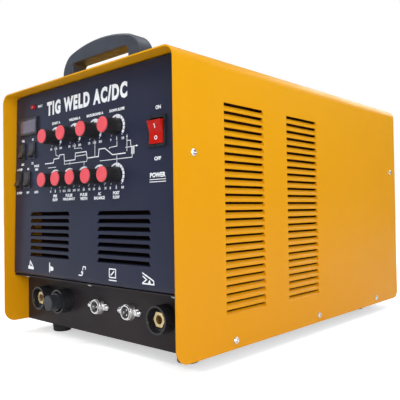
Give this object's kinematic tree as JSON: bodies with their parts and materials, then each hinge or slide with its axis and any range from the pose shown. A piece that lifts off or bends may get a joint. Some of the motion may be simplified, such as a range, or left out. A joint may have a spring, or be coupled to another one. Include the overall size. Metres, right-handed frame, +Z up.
{
  "type": "tig welding machine",
  "caption": "Portable AC/DC TIG welding power source: louvred case with carry handle, tilted control panel with knobs and rockers, recessed connector plate, rear fan and gas inlet.",
  "frame": {"origin": "on the floor under the middle of the machine, at the feet's undersides", "axes": "+Z up, +Y from the control panel to the fan, along the case; +X to the right as seen from the front"},
  "size_m": [0.3278, 0.5138, 0.3642],
  "materials": {
    "cover_paint": "semi-gloss orange-yellow powder coat",
    "panel_paint": "semi-gloss dark slate screen-printed panel",
    "plate_paint": "satin brown-black powder coat",
    "zinc_sheet": "zinc-plated folded sheet",
    "foot_rubber": "matt black",
    "screw_steel": "bright zinc",
    "handle_plastic": "fine-textured black",
    "knob_plastic": "satin black",
    "cap_plastic": "bright pinkish red",
    "black_plastic": "satin black",
    "display_window_red": "dark purple-brown filter",
    "display_dark": "unlit display face",
    "lamp_red": "translucent red",
    "rocker_red": "bright red with white marks",
    "rocker_black": "satin black",
    "brass": "machined brass",
    "plug_grey": "dark grey",
    "bright_chrome": "nickel plate",
    "fan_plastic": "black glass-filled plastic",
    "guard_wire": "bright plated wire",
    "board_green": "green solder mask",
    "pot_metal": "plated pot case",
    "sink_aluminium": "extruded aluminium",
    "capacitor_sleeve": "dark blue sleeve",
    "transformer_core": "ferrite and tape"
  },
  "bodies": {
    "machine": {"base_tray": "zinc_sheet", "cable_gland": "black_plastic", "capacitor_bank": "capacitor_sleeve", "carry_handle": "handle_plastic", "case_screws": "screw_steel", "control_board": "board_green", "control_panel": "panel_paint", "display_bezel": "black_plastic", "display_module": "display_dark", "display_window": "display_window_red", "fan_frame": "fan_plastic", "fan_guard": "guard_wire", "fault_lamp": "lamp_red", "foot_screws": "screw_steel", "gas_inlet": "brass", "gas_outlet_coupling": "brass", "gas_outlet_housing": "black_plastic", "gas_outlet_plug": "plug_grey", "gas_valve": "brass", "handle_screws": "screw_steel", "heat_sinks": "sink_aluminium", "lower_front_plate": "plate_paint", "main_transformer": "transformer_core", "outer_cover": "cover_paint", "output_socket_contacts": "brass", "output_socket_housings": "black_plastic", "potentiometers": "pot_metal", "power_board": "board_green", "power_switch_body": "black_plastic", "rear_panel": "plate_paint", "remote_socket_inserts": "black_plastic", "remote_socket_pins": "bright_chrome", "remote_socket_screws": "screw_steel", "remote_socket_shells": "bright_chrome", "rubber_feet": "foot_rubber", "selector_switch_bodies": "black_plastic"},
    "start_current_dial": {"start_current_knob": "knob_plastic", "start_current_cap": "cap_plastic"},
    "welding_current_dial": {"welding_current_knob": "knob_plastic", "welding_current_cap": "cap_plastic"},
    "background_current_dial": {"background_current_knob": "knob_plastic", "background_current_cap": "cap_plastic"},
    "down_slope_dial": {"down_slope_knob": "knob_plastic", "down_slope_cap": "cap_plastic"},
    "pre_flow_dial": {"pre_flow_knob": "knob_plastic", "pre_flow_cap": "cap_plastic"},
    "pulse_frequency_dial": {"pulse_frequency_knob": "knob_plastic", "pulse_frequency_cap": "cap_plastic"},
    "pulse_width_dial": {"pulse_width_knob": "knob_plastic", "pulse_width_cap": "cap_plastic"},
    "ac_balance_dial": {"ac_balance_knob": "knob_plastic", "ac_balance_cap": "cap_plastic"},
    "post_flow_dial": {"post_flow_knob": "knob_plastic", "post_flow_cap": "cap_plastic"},
    "process_selector": {"process_rocker": "rocker_black"},
    "current_type_selector": {"current_type_rocker": "rocker_black"},
    "trigger_mode_selector": {"trigger_mode_rocker": "rocker_black"},
    "pulse_selector": {"pulse_rocker": "rocker_black"},
    "power_switch": {"power_rocker": "rocker_red"},
    "fan_wheel": {"fan_rotor": "fan_plastic"}
  },
  "joints": [
    {"name": "start_current_turn", "type": "hinge", "parent": "machine", "child": "start_current_dial", "pos_m": [-0.059, -0.2449, 0.24999], "axis": [0, -0.9997, 0.0244], "range_deg": [-150, 150]},
    {"name": "welding_current_turn", "type": "hinge", "parent": "machine", "child": "welding_current_dial", "pos_m": [-0.0197, -0.2449, 0.24999], "axis": [0, -0.9997, 0.0244], "range_deg": [-150, 150]},
    {"name": "background_current_turn", "type": "hinge", "parent": "machine", "child": "background_current_dial", "pos_m": [0.0197, -0.2449, 0.24999], "axis": [0, -0.9997, 0.0244], "range_deg": [-150, 150]},
    {"name": "down_slope_turn", "type": "hinge", "parent": "machine", "child": "down_slope_dial", "pos_m": [0.059, -0.2449, 0.24999], "axis": [0, -0.9997, 0.0244], "range_deg": [-150, 150]},
    {"name": "pre_flow_turn", "type": "hinge", "parent": "machine", "child": "pre_flow_dial", "pos_m": [-0.059, -0.24618, 0.19771], "axis": [0, -0.9997, 0.0244], "range_deg": [-150, 150]},
    {"name": "pulse_frequency_turn", "type": "hinge", "parent": "machine", "child": "pulse_frequency_dial", "pos_m": [-0.0295, -0.24618, 0.19771], "axis": [0, -0.9997, 0.0244], "range_deg": [-150, 150]},
    {"name": "pulse_width_turn", "type": "hinge", "parent": "machine", "child": "pulse_width_dial", "pos_m": [0, -0.24618, 0.19771], "axis": [0, -0.9997, 0.0244], "range_deg": [-150, 150]},
    {"name": "ac_balance_turn", "type": "hinge", "parent": "machine", "child": "ac_balance_dial", "pos_m": [0.0295, -0.24618, 0.19771], "axis": [0, -0.9997, 0.0244], "range_deg": [-150, 150]},
    {"name": "post_flow_turn", "type": "hinge", "parent": "machine", "child": "post_flow_dial", "pos_m": [0.059, -0.24618, 0.19771], "axis": [0, -0.9997, 0.0244], "range_deg": [-150, 150]},
    {"name": "process_rock", "type": "hinge", "parent": "machine", "child": "process_selector", "pos_m": [-0.1375, -0.23417, 0.23893], "axis": [1, 0, 0], "range_deg": [0, 22]},
    {"name": "current_type_rock", "type": "hinge", "parent": "machine", "child": "current_type_selector", "pos_m": [-0.1128, -0.23417, 0.23893], "axis": [1, 0, 0], "range_deg": [0, 22]},
    {"name": "trigger_mode_rock", "type": "hinge", "parent": "machine", "child": "trigger_mode_selector", "pos_m": [-0.145, -0.23508, 0.20144], "axis": [1, 0, 0], "range_deg": [0, 22]},
    {"name": "pulse_rock", "type": "hinge", "parent": "machine", "child": "pulse_selector", "pos_m": [-0.1238, -0.23508, 0.20144], "axis": [1, 0, 0], "range_deg": [0, 22]},
    {"name": "power_rock", "type": "hinge", "parent": "machine", "child": "power_switch", "pos_m": [0.1233, -0.2332, 0.2377], "axis": [1, 0, 0], "range_deg": [-19, 0]},
    {"name": "fan_spin", "type": "hinge", "parent": "machine", "child": "fan_wheel", "pos_m": [0, 0.22, 0.18], "axis": [0, 1, 0], "continuous": true}
  ]
}
